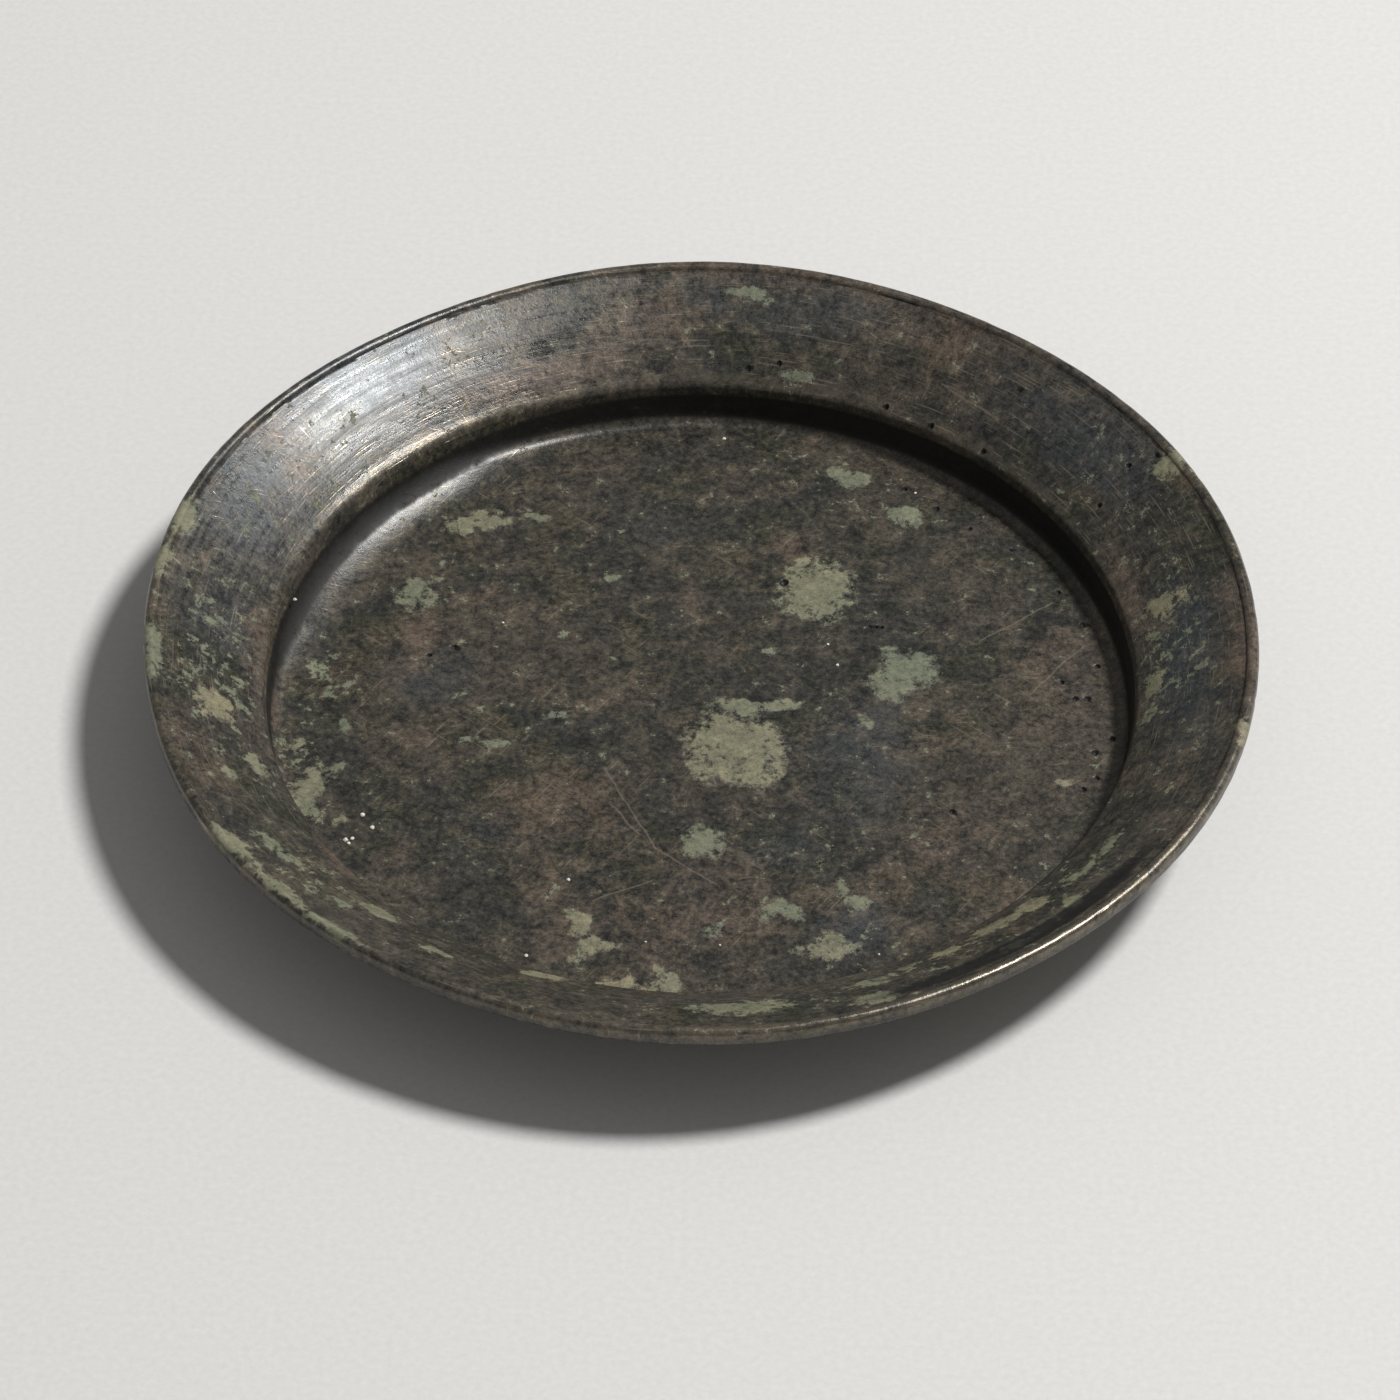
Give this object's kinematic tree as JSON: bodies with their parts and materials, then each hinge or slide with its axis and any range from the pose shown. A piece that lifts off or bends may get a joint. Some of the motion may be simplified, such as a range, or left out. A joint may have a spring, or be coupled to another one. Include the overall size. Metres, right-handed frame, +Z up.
{
  "type": "shallow dish",
  "caption": "Shallow round dish of dark copper alloy with a flat floor, a short steep wall and a broad flaring rim with a rounded lip.",
  "frame": {"origin": "centre of the flat underside, on the surface that the dish rests on", "axes": "+Z up out of the well; +X to the right and +Y away from the viewer in the reference view"},
  "size_m": [0.2399, 0.2414, 0.0265],
  "materials": {
    "bronze": "dark mottled brown-black patina with patches of pale green, worn satin sheen"
  },
  "bodies": {
    "root": {"dish_body": "bronze"}
  },
  "joints": []
}
